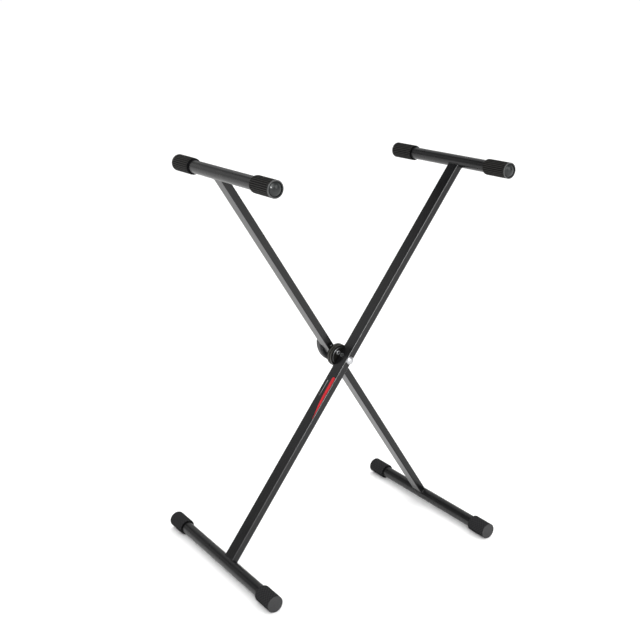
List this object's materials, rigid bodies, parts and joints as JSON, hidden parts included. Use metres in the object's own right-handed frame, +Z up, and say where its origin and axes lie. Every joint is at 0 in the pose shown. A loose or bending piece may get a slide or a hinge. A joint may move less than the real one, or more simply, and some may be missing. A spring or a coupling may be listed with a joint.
{
  "type": "x-style keyboard stand",
  "caption": "Folding X-frame floor stand with box-tube legs, round base bars and support arms, rubber ends and a clutch pivot with clamp knob.",
  "frame": {"origin": "on the floor under the crossing of the legs, midway between the front and rear leg", "axes": "+Z up, +X to the player's right, +Y from the player's side to the back, along the pivot bolt"},
  "size_m": [0.5844, 0.405, 0.8197],
  "materials": {
    "leg_paint": "satin black powder coat on rectangular steel tube, faint orange peel",
    "tube_paint": "satin black powder coat on round steel tube",
    "foot_rubber": "matt black moulded rubber, fine grain on the side, smoother end",
    "sleeve_rubber": "black moulded rubber with fine lengthwise ribs",
    "plug_plastic": "polished dark grey injection-moulded plastic",
    "chrome": "bright chrome plate",
    "plate_paint": "black enamel on pressed steel",
    "disc_nylon": "dark glass-filled nylon with an olive cast",
    "friction_fibre": "bonded fibre friction lining",
    "spring_steel": "drawn spring steel wire",
    "bush_nylon": "natural nylon",
    "zinc_steel": "bright zinc-plated steel",
    "knob_plastic": "black injection-moulded plastic, fine spark-eroded grain",
    "insert_brass": "turned brass",
    "rivet_steel": "zinc-plated steel, dulled",
    "screw_steel": "darkened steel"
  },
  "bodies": {
    "front_leg_frame": {"front_leg": "leg_paint", "left_base_bar": "tube_paint", "right_support_arm": "tube_paint", "left_front_foot_cap": "foot_rubber", "right_front_grip_sleeve": "sleeve_rubber", "right_front_end_plug": "plug_plastic", "left_rear_foot_cap": "foot_rubber", "right_rear_grip_sleeve": "sleeve_rubber", "right_rear_end_plug": "plug_plastic", "front_clutch_plate": "plate_paint", "front_clutch_disc": "disc_nylon", "front_upper_rivet": "rivet_steel", "front_lower_rivet": "rivet_steel", "front_disc_screw_1": "screw_steel", "front_disc_screw_2": "screw_steel", "pivot_bolt": "chrome", "friction_ring": "friction_fibre", "release_spring": "spring_steel"},
    "rear_leg_frame": {"rear_leg": "leg_paint", "right_base_bar": "tube_paint", "left_support_arm": "tube_paint", "right_front_foot_cap": "foot_rubber", "left_front_grip_sleeve": "sleeve_rubber", "left_front_end_plug": "plug_plastic", "right_rear_foot_cap": "foot_rubber", "left_rear_grip_sleeve": "sleeve_rubber", "left_rear_end_plug": "plug_plastic", "rear_clutch_plate": "plate_paint", "rear_clutch_disc": "disc_nylon", "rear_upper_rivet": "rivet_steel", "rear_lower_rivet": "rivet_steel", "rear_disc_screw_1": "screw_steel", "rear_disc_screw_2": "screw_steel", "pivot_bush": "bush_nylon"},
    "knob_carriage": {"thrust_washer": "zinc_steel"},
    "clamp_knob": {"lock_knob": "knob_plastic", "knob_insert": "insert_brass"}
  },
  "joints": [
    {"name": "leg_fold", "type": "hinge", "parent": "front_leg_frame", "child": "rear_leg_frame", "pos_m": [0, 0, 0.41011], "axis": [0, 1, 0], "range_deg": [-50, 64]},
    {"name": "knob_travel", "type": "slide", "parent": "rear_leg_frame", "child": "knob_carriage", "axis": [0, 1, 0], "range_m": [0, 0.0026]},
    {"name": "knob_turn", "type": "hinge", "parent": "knob_carriage", "child": "clamp_knob", "pos_m": [0, 0, 0.41011], "axis": [0, 1, 0], "range_deg": [0, 720]}
  ],
  "couplings": [
    {"joint": "knob_travel", "follows": "knob_turn", "m_per_rad": 0.00019894}
  ]
}
